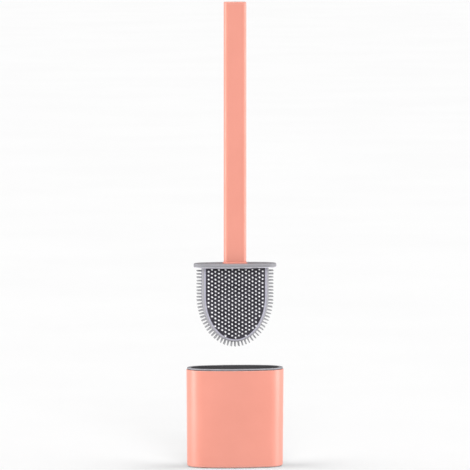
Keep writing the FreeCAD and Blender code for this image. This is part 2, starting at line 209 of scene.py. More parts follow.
class ToiletBrushSizes(bpy.types.PropertyGroup):
    """Sizes of the brush's pieces"""
    lid_inset: length_value("Lid inset", "From the holder's side to the lid's edge", 0.0075)
    lid_top_round: length_value("Lid top rounding", "Rounding of the lid's top edge", 0.0008)
    lid_under_round: length_value("Lid lower rounding", "Rounding of the lid's lower edge", 0.0007)
    lid_crown: length_value("Lid crown", "How far the lid's top falls to its edge", 0.00015)
    handle_corner: length_value("Handle corner", "Radius of the handle's four corners", 0.0042)
    handle_wall: length_value("Handle wall", "Thickness of the handle's wall", 0.0022)
    seam_round: length_value("Seam rounding", "Rounding of the edges at the cap's joint", 0.00022)
    cap_round: length_value("Cap rounding", "Rounding of the cap's top edge", 0.0010)
    skirt_fit: length_value("Skirt fit", "Gap round the cap's skirt", 0.0001)
    skirt_wall: length_value("Skirt wall", "Thickness of the cap's skirt", 0.0014)
    collar_flare: length_value("Collar flare", "How far the collar stands out round the handle", 0.0013)
    collar_edge: length_value("Collar edge", "Height of the collar's outer edge", 0.0003)
    head_width: length_value("Head width", "Outside of the frame, without its bristles", 0.0688)
    head_straight: length_value("Head straight", "Straight side of the head below the lid", 0.0295)
    head_nose: length_value("Head nose", "Height of the half ellipse below that", 0.0470)
    frame_band: length_value("Frame band", "Width of the frame at its sides, seen from the front", 0.0041)
    nose_share: share_value("Nose share", "Part of that width that is left at the tip of the nose", 0.65)
    frame_round: length_value("Frame rounding", "Rounding of the frame's outer edges", 0.0022)
    face_gap: length_value("Face gap", "Gap round each dark face", 0.00012)
    face_round: length_value("Face rounding", "Rounding of each dark face's edge", 0.00035)
    vent_radius: length_value("Vent radius", "Radius of the vent in the front face", 0.0007)
    vent_row: IntProperty(name="Vent row", description="Row of pins that the vent lies level with",
                          default=5, min=1)
    pin_pitch: length_value("Pin pitch", "Between neighbours on the triangular grid", 0.0040)
    pin_top_margin: length_value("Pin margin", "From the lid's underside to the first row of pins", 0.0020)
    pin_length: length_value("Pin length", "Length of a pin", 0.0050)
    pin_base_radius: length_value("Pin base radius", "Radius of a pin at its root", 0.00095)
    pin_tip_radius: length_value("Pin tip radius", "Radius of a pin's round tip", 0.00080)
    pin_flare: length_value("Pin flare", "How far the fillet at a pin's root stands out", 0.00030)
    bristle_pitch: length_value("Bristle pitch", "Between edge bristles along the frame", 0.0034)
    bristle_length: length_value("Bristle length", "Length of an edge bristle", 0.0052)
    bristle_base_radius: length_value("Bristle base radius", "Radius of an edge bristle's root", 0.00075)
    bristle_tip_radius: length_value("Bristle tip radius", "Radius of an edge bristle's tip", 0.00060)
    bristle_top_margin: length_value("Bristle margin", "From the lid to the first edge bristle", 0.0036)
    bristle_row_gap: length_value("Bristle row gap", "Between the three rows of edge bristles", 0.0030)
    lean: angle_value("Lean", "Largest lean of a pin or a bristle from straight", 3.0)


class ToiletBrushFinishes(bpy.types.PropertyGroup):
    """Colours and roughness of the finishes"""
    coral: colour_value("Coral plastic", "Shell and handle", (0.825, 0.288, 0.210))
    coral_deep: colour_value("Coral plastic, deep", "Darker clouding of the coral", (0.797, 0.273, 0.196))
    coral_pale: colour_value("Coral plastic, pale", "Polished edges of the coral", (0.880, 0.430, 0.355))
    coral_roughness: share_value("Coral roughness", "Mean roughness of the coral plastic", 0.34)
    handle_roughness: share_value("Handle roughness", "Mean roughness of the drawn handle", 0.48)
    grey: colour_value("Grey plastic", "Lip and splash lid", (0.275, 0.273, 0.290))
    grey_deep: colour_value("Grey plastic, deep", "Darker clouding of the grey", (0.255, 0.253, 0.268))
    # Pale lavender edge colour: wear on the cup's edges, and a painted highlight along the lid's lower edge.
    grey_pale_wear_and_highlight: colour_value("Grey plastic, pale", "Polished edges of the grey", (0.800, 0.770, 0.860))
    grey_roughness: share_value("Grey roughness", "Mean roughness of the grey plastic", 0.50)
    # Painted shade: the inside of the cup and the groove under its lip are coloured this near-black to stand
    # for the shade there; the cup itself is grey.
    painted_cup_shade: colour_value("Cup lining", "Inside of the cup", (0.045, 0.043, 0.047))
    frame_flat: colour_value("Frame flat", "Flat inner part of the head's frame", (0.500, 0.490, 0.590))
    # Painted shade: the frame's rounded edges are coloured this darker grey where they turn away from the
    # light.
    frame_rim_shade: colour_value("Frame rim", "Rounded outer part of the head's frame", (0.375, 0.370, 0.395))
    # The faces' charcoal is partly the rubber's own dark colour and partly painted shade: it is set
    # near-black to give the deep shade between the pins. The pads use it for their clouding.
    charcoal: colour_value("Charcoal rubber", "The head's two faces", (0.026, 0.023, 0.034))
    charcoal_pale: colour_value("Charcoal rubber, pale", "Bloom on the faces", (0.060, 0.056, 0.072))
    # Painted shade and highlight: each pin runs from this dark colour at its root, where shade falls between
    # the pins, to near-white at its tip, where the light catches it.
    pin_root_shade: colour_value("Pin root", "Foot of a pin", (0.110, 0.105, 0.130))
    pin_tip_highlight: colour_value("Pin tip", "Round end of a pin", (0.950, 0.950, 0.970))
    # Painted shade: each edge bristle is coloured darker at its root, where the bristles crowd together, than
    # at its tip.
    bristle_root_shade: colour_value("Bristle root", "Foot of an edge bristle", (0.330, 0.330, 0.350))
    bristle_tip: colour_value("Bristle tip", "End of an edge bristle", (0.420, 0.420, 0.430))
    pad: colour_value("Pad rubber", "Foot pads", (0.040, 0.040, 0.042))
    core: colour_value("Core plastic", "Stiff core inside the head", (0.450, 0.450, 0.470))


class ToiletBrushStage(bpy.types.PropertyGroup):
    """The camera, the lights and the floor"""
    elevation: angle_value("Elevation", "Camera's height angle", 4.4)
    azimuth: angle_value("Azimuth", "Camera's turn from the front", -5.0)
    distance: length_value("Distance", "From the camera to the point it looks at", 6.0)
    view_width: length_value("View width", "Width that the camera sees at that point", 0.4818)
    aim_height: length_value("Aim height", "Height of the point it looks at", 0.2380)
    aim_side: length_value("Aim side", "Sideways place of the point it looks at", 0.0)
    floor_radius: length_value("Floor radius", "Radius of the floor", 40.0)
    floor_colour: colour_value("Floor", "Pale floor", (0.980, 0.980, 0.980))
    sky: strength_value("Surround", "Brightness of the white surround", 0.35)
    high: strength_value("High lights", "Strength of the soft light high on each side", 0.90)
    high_angle: angle_value("High lights' height", "Height angle of the lights high on each side", 65)
    front: strength_value("Front light", "Strength of the soft light in front", 1.10)
    front_angle: angle_value("Front light's height", "Height angle of the light in front", 30)
    softness: angle_value("Softness", "How wide the far lights look", 30)
    side_power: FloatProperty(name="Side lights", description="Power of each side light", default=14.0,
                              subtype="POWER", unit="POWER")
    side_width: length_value("Side width", "Width of each side light", 0.75)
    side_height: length_value("Side height", "Height of each side light", 0.65)
    side_distance: length_value("Side distance", "From each side light to the object", 1.5)
    side_forward: length_value("Side forward", "How far forward of the object each side light stands", 0.15)


# ---- outlines and paths ----

def oval(inset):
    """The holder's outline of four arcs, drawn in by inset."""
    sizes = bpy.context.scene.toilet_brush_holder
    half_depth = sizes.depth / 2
    end_x = sizes.length / 2 - sizes.end_radius
    rise = half_depth - sizes.end_radius
    side_radius = (end_x ** 2 + half_depth ** 2 - sizes.end_radius ** 2) / (2 * rise)
    side_y = side_radius - half_depth
    turn = math.atan2(side_y, end_x)
    arcs = ((end_x, 0, sizes.end_radius, -turn, turn),
            (0, -side_y, side_radius, turn, math.pi - turn),
            (-end_x, 0, sizes.end_radius, math.pi - turn, math.pi + turn),
            (0, side_y, side_radius, math.pi + turn, 2 * math.pi - turn))
    points = []
    for x, y, radius, start, stop in arcs:
        for step in range(OVAL_STEPS):
            angle = start + (stop - start) * step / OVAL_STEPS
            points.append((x + (radius - inset) * math.cos(angle), y + (radius - inset) * math.sin(angle)))
    return points


def bar(inset):
    """The handle's rounded rectangle, drawn in by inset, or grown by a negative one."""
    corner = bpy.context.scene.toilet_brush.handle_corner
    points = []
    for quarter in range(4):
        start = quarter * math.pi / 2
        x = (TUBE_CORNER.x - corner) * (1 if quarter in (0, 3) else -1)
        y = (TUBE_CORNER.y - corner) * (1 if quarter in (0, 1) else -1)
        radius = corner - inset
        arc = [Vector((x + radius * math.cos(start + math.pi / 2 * step / CORNER_STEPS),
                       y + radius * math.sin(start + math.pi / 2 * step / CORNER_STEPS)))
               for step in range(CORNER_STEPS + 1)]
        along = Vector((math.sin(start), -math.cos(start)))
        after = Vector((-math.cos(start), -math.sin(start)))
        points += [arc[0] + along * HOLD, *arc, arc[-1] + after * HOLD]
    return [tuple(p) for p in points]


def shield(inset):
    """The head's outline drawn in by inset: down one side, round the nose and up the other side."""
    sizes = bpy.context.scene.toilet_brush
    half = sizes.head_width / 2 - inset
    nose = sizes.head_nose - inset * sizes.nose_share
    nose_z = LID_UNDER - sizes.head_straight
    side = [(half, LID_UNDER - sizes.head_straight * step / STRAIGHT_STEPS) for step in range(STRAIGHT_STEPS)]
    turns = [math.pi * step / NOSE_STEPS for step in range(NOSE_STEPS + 1)]
    tip = [(half * math.cos(turn), nose_z - nose * math.sin(turn)) for turn in turns]
    return side + tip + [(-x, z) for x, z in reversed(side)]


def disc(radius):
    """Gives the outline of a disc, drawn in by inset."""
    def outline(inset):
        return [((radius - inset) * math.cos(2 * math.pi * step / DISC_STEPS),
                 (radius - inset) * math.sin(2 * math.pi * step / DISC_STEPS)) for step in range(DISC_STEPS)]
    return outline


def upright(u, v, level):
    """A point of a level ring."""
    return (u, v, level)


def facing(u, v, level):
    """A point of a ring that faces the front."""
    return (u, level, v)


def soften(corners, closed=False):
    """The path (inset, level, share) through corners (inset, level, radius), each rounded.
    share is 1 on a rounding and 0 elsewhere."""
    path = []
    for k, (inset, level, radius) in enumerate(corners):
        if radius == 0:
            path.append((inset, level, 0.0))
            continue
        corner = Vector((inset, level))
        back = (Vector(corners[k - 1][:2]) - corner).normalized()
        ahead = (Vector(corners[(k + 1) % len(corners)][:2]) - corner).normalized()
        half_turn = back.angle(ahead) / 2
        reach = radius / math.tan(half_turn)
        centre = corner + (back + ahead).normalized() * radius / math.sin(half_turn)
        start = corner + back * reach - centre
        sweep = start.angle_signed(corner + ahead * reach - centre)
        path.append((*(corner + back * (reach + HOLD)), 0.0))
        for step in range(ARC_STEPS + 1):
            path.append((*(centre + Matrix.Rotation(-sweep * step / ARC_STEPS, 2) @ start), 1.0))
        path.append((*(corner + ahead * (reach + HOLD)), 0.0))
    return path


def loft(outline, path, place=upright, closed=False, ring_closed=True):
    """Points, faces and edge shares of the skin through the outline's rings along path, its ends capped."""
    rings = [[place(u, v, level) for u, v in outline(inset)] for inset, level, _ in path]
    size = len(rings[0])
    points = [point for ring in rings for point in ring]
    shares = [share for _, _, share in path for _ in range(size)]
    faces = []
    for r in range(len(path) if closed else len(path) - 1):
        low = r * size
        high = (r + 1) % len(path) * size
        for k in range(size if ring_closed else size - 1):
            after = (k + 1) % size
            faces.append((low + k, low + after, high + after, high + k))
    if not closed:
        faces.append(tuple(range(size)))
        faces.append(tuple(range(len(points) - size, len(points))))
    if not ring_closed:
        faces.append(tuple(range(0, len(points), size)))
        faces.append(tuple(range(size - 1, len(points), size)))
    return points, faces, {"edge": shares}


# ---- pieces from meshes ----

def make_mesh(name, points, faces, shares=None):
    """A smooth mesh whose faces look outwards, with its shares as point attributes."""
    mesh = bpy.data.meshes.new(name)
    mesh.from_pydata(points, [], faces)
    for attribute, values in (shares or {}).items():
        layer = mesh.attributes.new(attribute, "FLOAT", "POINT")
        layer.data.foreach_set("value", values)
    work = bmesh.new()
    work.from_mesh(mesh)
    bmesh.ops.recalc_face_normals(work, faces=work.faces)
    for face in work.faces:
        face.smooth = True
    work.to_mesh(mesh)
    work.free()
    mesh.set_sharp_from_angle(angle=SHARP_TURN)
    return mesh


def set_out(name, data):
    """A new object in the scene."""
    made = bpy.data.objects.new(name, data)
    bpy.context.scene.collection.objects.link(made)
    return made


def add_piece(name, mesh, material, body, replaced=()):
    """Puts the mesh in the scene as a piece that rides on body and stands for the replaced nodes."""
    piece = set_out(name, mesh)
    mesh.materials.append(material)
    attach(piece, body)
    if replaced:
        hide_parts(*replaced)
    return piece


def cut_out(piece, cutter_mesh):
    """Cuts the cutter's shape out of the piece."""
    cutter = set_out("cutter", cutter_mesh)
    cut = piece.modifiers.new("cut", "BOOLEAN")
    cut.operation = "DIFFERENCE"
    cut.solver = "EXACT"
    cut.object = cutter
    bpy.context.view_layer.update()
    seen = piece.evaluated_get(bpy.context.evaluated_depsgraph_get())
    mesh = bpy.data.meshes.new_from_object(seen)
    if not mesh.polygons:
        raise RuntimeError("cutting left nothing of " + piece.name)
    piece.modifiers.clear()
    piece.data = mesh
    bpy.data.objects.remove(cutter)


# ---- finishes ----

def put(tree, kind, inputs=None, **settings):
    """Adds a node, makes its settings, and links or fills its inputs."""
    made = tree.nodes.new(kind)
    for name, value in settings.items():
        setattr(made, name, value)
    for name, value in (inputs or {}).items():
        if isinstance(value, bpy.types.NodeSocket):
            tree.links.new(value, made.inputs[name])
        else:
            made.inputs[name].default_value = value
    return made


def clouds(tree, place, scale, low, high, detail=3.0):
    """Noise of that scale, spread between low and high."""
    noise = put(tree, "ShaderNodeTexNoise", {"Vector": place, "Scale": scale, "Detail": detail})
    return put(tree, "ShaderNodeMapRange", {"Value": noise.outputs[0], "From Min": 0.35, "From Max": 0.65,
                                            "To Min": low, "To Max": high}).outputs[0]


def blend_colour(tree, share, first, second):
    """A colour between first and second. Each is a colour or a socket."""
    mix = put(tree, "ShaderNodeMix", data_type="RGBA")
    for socket, value in ((mix.inputs[0], share), (mix.inputs[6], first), (mix.inputs[7], second)):
        if isinstance(value, bpy.types.NodeSocket):
            tree.links.new(value, socket)
        else:
            socket.default_value = (*value, 1.0)
    return mix.outputs[2]


def times(tree, first, second):
    """The product of two values."""
    return put(tree, "ShaderNodeMath", {0: first, 1: second}, operation="MULTIPLY").outputs[0]


def relief(tree, layers):
    """Bump of several layers of noise, each (place, scale, height)."""
    normal = None
    for place, scale, height in layers:
        noise = put(tree, "ShaderNodeTexNoise", {"Vector": place, "Scale": scale, "Detail": 2.0})
        bump = put(tree, "ShaderNodeBump", {"Height": noise.outputs[0], "Distance": height, "Strength": 1.0})
        if normal is not None:
            tree.links.new(normal, bump.inputs["Normal"])
        normal = bump.outputs["Normal"]
    return normal


def start_finish(name):
    """A new material's tree, its shader, and the place of each point in the frame's axes."""
    material = bpy.data.materials.new(name)
    material.use_nodes = True
    tree = material.node_tree
    place = put(tree, "ShaderNodeTexCoord").outputs["Object"]
    return material, tree, tree.nodes["Principled BSDF"], place


def moulded_plastic(name, main, deep, pale, roughness, edge_wear_and_highlight=0.55, painted_cup_shade=None, shine=0.5, drawn=False):
    """Moulded plastic with a fine spark-eroded grain, faint clouding and pale edges: wear, and on the grey
    lid's lower edge a painted highlight.
    Where a shade colour is given, it is painted as shade on the points whose inside attribute is set.
    A drawn one has faint lines along Z, as an extruded tube has."""
    material, tree, shader, place = start_finish(name)
    body = blend_colour(tree, clouds(tree, place, 24.0, 0.0, 1.0), deep, main)
    fleck = clouds(tree, place, 2600.0, 0.0, 0.10)
    body = blend_colour(tree, fleck, body, pale)
    edge = put(tree, "ShaderNodeAttribute", attribute_name="edge").outputs["Fac"]
    # Pale edges: wear on the roundings, and where the share is full, as on the grey lid's lower edge, a
    # painted highlight.
    rubbed_and_lit_edge = times(tree, edge, clouds(tree, place, 160.0, 0.35 * edge_wear_and_highlight, edge_wear_and_highlight))
    body = blend_colour(tree, rubbed_and_lit_edge, body, pale)
    # Painted shade: where the inside attribute is set, the colour goes over to the given shade colour.
    if painted_cup_shade is not None:
        inside = put(tree, "ShaderNodeAttribute", attribute_name="inside").outputs["Fac"]
        body = blend_colour(tree, inside, body, painted_cup_shade)
    tree.links.new(body, shader.inputs["Base Color"])
    dull = clouds(tree, place, 55.0, roughness - 0.05, roughness + 0.05)
    polish = times(tree, rubbed_and_lit_edge, -0.12)
    rough = put(tree, "ShaderNodeMath", {0: dull, 1: polish}, operation="ADD").outputs[0]
    tree.links.new(rough, shader.inputs["Roughness"])
    layers = [(place, 2400.0, SPARK_GRAIN), (place, 300.0, MOULD_RIPPLE)]
    if drawn:
        lines = put(tree, "ShaderNodeMapping", {"Vector": place, "Scale": (1.0, 1.0, 0.01)}).outputs["Vector"]
        layers.append((lines, 1800.0, DRAWN_LINES))
    tree.links.new(relief(tree, layers), shader.inputs["Normal"])
    shader.inputs["Specular IOR Level"].default_value = shine
    return material


def soft_rubber(name, main, other, roughness, share=None, full_at=1.0):
    """Matt soft-touch rubber with a dusty bloom.
    share names an attribute that runs from main, at 0, to other, at full_at."""
    material, tree, shader, place = start_finish(name)
    if share is None:
        mix = clouds(tree, place, 90.0, 0.0, 1.0, detail=5.0)
    else:
        mix = put(tree, "ShaderNodeAttribute", attribute_name=share).outputs["Fac"]
        mix = put(tree, "ShaderNodeMapRange", {"Value": mix, "From Max": full_at}).outputs[0]
    body = blend_colour(tree, mix, main, other)
    bloom = clouds(tree, place, 1500.0, 0.0, 0.14)
    body = blend_colour(tree, bloom, body, other)
    tree.links.new(body, shader.inputs["Base Color"])
    tree.links.new(clouds(tree, place, 420.0, roughness - 0.06, roughness + 0.06), shader.inputs["Roughness"])
    layers = ((place, 1700.0, RUBBER_GRAIN), (place, 380.0, RUBBER_GRAIN))
    tree.links.new(relief(tree, layers), shader.inputs["Normal"])
    shader.inputs["Specular IOR Level"].default_value = 0.35
    return material


def coral_plastic(drawn=False):
    """The coral plastic of the shell, or of the drawn handle."""
    look = bpy.context.scene.toilet_brush_finishes
    name = "drawn_coral_finish" if drawn else "coral_finish"
    roughness = look.handle_roughness if drawn else look.coral_roughness
    return bpy.data.materials.get(name) or moulded_plastic(
        name, look.coral, look.coral_deep, look.coral_pale, roughness, shine=0.9, drawn=drawn)


def grey_plastic():
    """The grey plastic of the inner cup and the lid: painted shade inside the cup and in the groove under its
    lip, and pale edges that are wear and, on the lid's lower edge, a painted highlight.
    """
    look = bpy.context.scene.toilet_brush_finishes
    name = "grey_finish"
    return bpy.data.materials.get(name) or moulded_plastic(
        name, look.grey, look.grey_deep, look.grey_pale_wear_and_highlight, look.grey_roughness, edge_wear_and_highlight=1.0,
        painted_cup_shade=look.painted_cup_shade, shine=0.25)


# ---- stalks: pins and bristles ----

def stalk_rings(base_radius, tip_radius, length, flare):
    """(radius, height) of a stalk's rings, from the fillet at its root to its round tip."""
    rings = [(base_radius + flare * (1 - math.sin(turn)), flare * (1 - math.cos(turn)))
             for turn in (math.pi / 2 * step / FILLET_STEPS for step in range(FILLET_STEPS + 1))]
    shoulder = length - tip_radius
    for step in range(1, TAPER_STEPS + 1):
        share = step / TAPER_STEPS
        rings.append((base_radius + (tip_radius - base_radius) * share, flare + (shoulder - flare) * share))
    for step in range(1, DOME_STEPS):
        turn = math.pi / 2 * step / DOME_STEPS
        rings.append((tip_radius * math.cos(turn), shoulder + tip_radius * math.sin(turn)))
    return rings


def stalk_field(name, rings, length, feet, lean, seed):
    """A mesh of stalks, one on each (foot, direction), each leaning and bending a little its own way."""
    draw = random.Random(seed)
    points, faces, reach = [], [], []
    for foot, direction in feet:
        turned = direction.to_track_quat("Z", "Y").to_matrix()
        heading = draw.uniform(0, 2 * math.pi)
        slant = math.tan(lean) * draw.uniform(0.1, 1.0)
        bend = slant * draw.uniform(0.0, 1.2)
        stretch = draw.uniform(0.97, 1.02)
        spin = draw.uniform(0, 2 * math.pi)
        first = len(points)
        for radius, height in rings + [(0.0, length)]:
            tall = height * stretch
            drift = slant * tall + bend * tall * tall / length
            centre = Vector((math.cos(heading) * drift, math.sin(heading) * drift, tall))
            for side in range(STALK_SIDES if radius else 1):
                angle = spin + 2 * math.pi * side / STALK_SIDES
                around = Vector((radius * math.cos(angle), radius * math.sin(angle), 0))
                points.append(foot + turned @ (centre + around))
                reach.append(height / length)
        for r in range(len(rings) - 1):
            low = first + r * STALK_SIDES
            for k in range(STALK_SIDES):
                after = (k + 1) % STALK_SIDES
                faces.append((low + k, low + after, low + STALK_SIDES + after, low + STALK_SIDES + k))
        last = first + (len(rings) - 1) * STALK_SIDES
        tip = last + STALK_SIDES
        faces += [(last + k, last + (k + 1) % STALK_SIDES, tip) for k in range(STALK_SIDES)]
        faces.append(tuple(first + k for k in reversed(range(STALK_SIDES))))
    return make_mesh(name, [tuple(p) for p in points], faces, {"reach": reach})


def pin_feet(side):
    """Foot and direction of each pin on one face: a triangular grid kept inside the frame."""
    sizes = bpy.context.scene.toilet_brush
    half = sizes.head_width / 2 - sizes.frame_band - sizes.pin_base_radius
    nose = sizes.head_nose - sizes.frame_band * sizes.nose_share - sizes.pin_base_radius
    nose_z = LID_UNDER - sizes.head_straight
    column_pitch = sizes.pin_pitch * math.sqrt(3) / 2
    columns = int(half / column_pitch)
    feet = []
    for column in range(-columns, columns + 1):
        x = column * column_pitch
        z = LID_UNDER - sizes.pin_top_margin - (sizes.pin_pitch / 2 if column % 2 == 0 else 0)
        lowest = nose_z - nose * math.sqrt(1 - (x / half) ** 2)
        while z > lowest:
            feet.append((Vector((x, side * -FACE_FRONT, z)), Vector((0, side, 0))))
            z -= sizes.pin_pitch
    return feet


def bristle_feet():
    """Foot and direction of each edge bristle, evenly spaced along the frame in three rows."""
    sizes = bpy.context.scene.toilet_brush
    half, nose = sizes.head_width / 2, sizes.head_nose
    nose_z = LID_UNDER - sizes.head_straight
    turns = [math.pi / 2 * k / RUN_STEPS for k in range(RUN_STEPS + 1)]
    lengths = [sizes.head_straight]
    for turn, after in zip(turns, turns[1:]):
        step_x = half * (math.cos(after) - math.cos(turn))
        step_z = nose * (math.sin(after) - math.sin(turn))
        lengths.append(lengths[-1] + math.hypot(step_x, step_z))
    run = lengths[-1] - sizes.bristle_top_margin
    count = round(run / sizes.bristle_pitch)
    feet = []
    for n in range(count + 1):
        along = sizes.bristle_top_margin + n * run / count
        if along <= sizes.head_straight:
            foot, out = Vector((half, 0, LID_UNDER - along)), Vector((1, 0, 0))
        else:
            turn = turns[min(bisect.bisect(lengths, along), RUN_STEPS)]
            foot = Vector((half * math.cos(turn), 0, nose_z - nose * math.sin(turn)))
            out = Vector((math.cos(turn) / half, 0, -math.sin(turn) / nose)).normalized()
        for mirror in ((1, -1) if n < count else (1,)):
            for row in (-1, 0, 1):
                feet.append((Vector((mirror * foot.x, row * sizes.bristle_row_gap, foot.z)),
                             Vector((mirror * out.x, 0, out.z))))
    return feet


# ---- operators ----

class PieceOperator:
    """What every piece's operator shares"""
    bl_options = {"REGISTER", "UNDO"}


class TOILET_BRUSH_OT_holder_shell(PieceOperator, bpy.types.Operator):
    """Build the coral outer shell with its rounded rim and hollowed underside"""
    bl_idname = "toilet_brush.holder_shell"
    bl_label = "Holder Shell"

    def execute(self, context):
        s = context.scene.toilet_brush_holder
        hollow = s.draft + s.foot_ring
        middle = s.end_radius - HUB_GAP
        corners = [(middle, SHELL_FOOT + s.foot_hollow, 0),
                   (hollow + s.foot_hollow, SHELL_FOOT + s.foot_hollow, s.foot_hollow / 3),
                   (hollow, SHELL_FOOT, s.foot_hollow / 3),
                   (s.draft, SHELL_FOOT, s.base_round),
                   (0, SHELL_RIM, s.rim_round),
                   (s.wall, SHELL_RIM, s.rim_round),
                   (s.wall + s.draft, SHELL_FOOT + s.floor, s.base_round),
                   (middle, SHELL_FOOT + s.floor, 0)]
        mesh = make_mesh("holder_shell_skin", *loft(oval, soften(corners)))
        add_piece("shell_of_holder", mesh, coral_plastic(), "holder", ["holder_shell"])
        return {"FINISHED"}


class TOILET_BRUSH_OT_foot_pads(PieceOperator, bpy.types.Operator):
    """Build the four round rubber pads under the shell"""
    bl_idname = "toilet_brush.foot_pads"
    bl_label = "Foot Pads"

    def execute(self, context):
        look = context.scene.toilet_brush_finishes
        material = soft_rubber("pad_finish", look.pad, look.charcoal, 0.75)
        for node in PADS:
            low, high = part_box(node)
            middle = (low + high) / 2
            radius = (high.x - low.x) / 2
            dimple = radius * PAD_RECESS_SHARE
            corners = [(radius - PAD_ROUND, PAD_RECESS, 0),
                       (dimple + PAD_RECESS, PAD_RECESS, PAD_RECESS_ROUND),
                       (dimple, 0, PAD_RECESS_ROUND),
                       (0, 0, PAD_ROUND),
                       (0, high.z, PAD_TOP_ROUND),
                       (radius - PAD_ROUND, high.z, 0)]
            points, faces, shares = loft(disc(radius), soften(corners))
            points = [(x + middle.x, y + middle.y, z) for x, y, z in points]
            add_piece("rubber_" + node, make_mesh(node + "_skin", points, faces, shares), material,
                      "holder", [node])
        return {"FINISHED"}


class TOILET_BRUSH_OT_inner_cup(PieceOperator, bpy.types.Operator):
    """Build the grey cup that hangs in the shell by its lip, with its ledge, well and drain slots, and
    painted shade inside it and in the groove under its lip
    """
    bl_idname = "toilet_brush.inner_cup"
    bl_label = "Inner Cup"

    def execute(self, context):
        s = context.scene.toilet_brush_holder
        ledge = LIP_TOP - s.lid_sink - (LID_TOP - LID_UNDER)
        middle = s.end_radius - HUB_GAP
        lip_under = SHELL_RIM + s.shadow_gap
        corners = [(middle, CUP_FOOT, 0),
                   (s.well_inset + s.cup_draft - s.cup_wall, CUP_FOOT, CUP_BASE_ROUND),
                   (s.well_inset - s.cup_wall, ledge - s.cup_wall, CUP_TIGHT_ROUND),
                   (s.ledge_inset - s.cup_wall, ledge - s.cup_wall, CUP_SEAT_ROUND),
                   (s.neck_inset, SHELL_RIM, 0),
                   (s.lip_inset + s.shadow_depth, SHELL_RIM, 0),
                   (s.lip_inset + s.shadow_depth, lip_under, GROOVE_ROUND),
                   (s.lip_inset, lip_under, CUP_TIGHT_ROUND),
                   (s.lip_inset, LIP_TOP, s.lip_round),
                   (s.mouth_inset, LIP_TOP, CUP_TURN_ROUND),
                   (s.ledge_inset, ledge, CUP_TIGHT_ROUND),
                   (s.well_inset, ledge, CUP_TURN_ROUND),
                   (s.well_inset + s.cup_draft, CUP_FOOT + s.cup_floor, CUP_FLOOR_ROUND),
                   (middle, CUP_FOOT + s.cup_floor, 0)]
        path = [(inset, level, share * CUP_EDGE_WEAR) for inset, level, share in soften(corners)]
        points, faces, shares = loft(oval, path)
        size = len(points) // len(path)
        # Painted shade: the rings from just inside the lip's top inwards, and those in the groove under the
        # lip, are marked to be coloured as shade.
        painted_cup_shade_start = 3 + max(k for k, (_, level, _) in enumerate(path) if level > LIP_TOP - TRUE_LEVEL)
        groove = [k for k, (inset, level, _) in enumerate(path)
                  if inset > s.lip_inset + GROOVE_START
                  and SHELL_RIM - TRUE_LEVEL < level < lip_under + TRUE_LEVEL]
        dark = [1.0 if k >= painted_cup_shade_start or k in groove else 0.0 for k in range(len(path))]
        shares["inside"] = [share for share in dark for _ in range(size)]
        mesh = make_mesh("inner_cup_skin", points, faces, shares)
        cup = add_piece("cup_in_holder", mesh, grey_plastic(), "cup", ["inner_cup"])
        cut_out(cup, self.slots(s))
        return {"FINISHED"}

    def slots(self, s):
        """The drain slots' shapes as one mesh: round-ended blocks through the cup's floor."""
        run = (s.slot_length - s.slot_width) / 2
        radius = s.slot_width / 2
        outline = [(radius * math.cos(turn), radius * math.sin(turn) + (run if turn <= math.pi else -run))
                   for turn in (math.pi * (step + 0.5) / SLOT_STEPS for step in range(2 * SLOT_STEPS))]
        margin = s.cup_floor / 2
        points, faces = [], []
        for k in range(s.slot_count):
            x = (k - (s.slot_count - 1) / 2) * s.slot_pitch
            first, size = len(points), len(outline)
            for level in (CUP_FOOT - margin, CUP_FOOT + s.cup_floor + margin):
                points += [(x + u, v, level) for u, v in outline]
            faces += [(first + n, first + (n + 1) % size, first + size + (n + 1) % size, first + size + n)
                      for n in range(size)]
            faces += [tuple(range(first, first + size)), tuple(range(first + size, first + 2 * size))]
        return make_mesh("drain_slots", points, faces)


class TOILET_BRUSH_OT_splash_lid(PieceOperator, bpy.types.Operator):
    """Build the slightly crowned oval lid that closes the holder"""
    bl_idname = "toilet_brush.splash_lid"
    bl_label = "Splash Lid"

    def execute(self, context):
        s = context.scene.toilet_brush
        middle = context.scene.toilet_brush_holder.end_radius - HUB_GAP
        flat = middle - CROWN_REACH
        corners = [(middle, LID_UNDER, 0),
                   (s.lid_inset, LID_UNDER, s.lid_under_round),
                   (s.lid_inset, LID_TOP - s.lid_crown, s.lid_top_round),
                   (flat, LID_TOP, CROWN_ROUND),
                   (middle, LID_TOP, 0)]
        half_way = (LID_UNDER + LID_TOP) / 2
        # Painted highlight: the lid's lower edge keeps the full pale share, so it reads as lit; the top edge
        # keeps only a little, as wear.
        path = [(inset, level, share if level < half_way else share * LID_TOP_WEAR)
                for inset, level, share in soften(corners)]
        mesh = make_mesh("splash_lid_skin", *loft(oval, path))
        add_piece("lid_of_brush", mesh, grey_plastic(), "brush", ["splash_lid"])
        return {"FINISHED"}


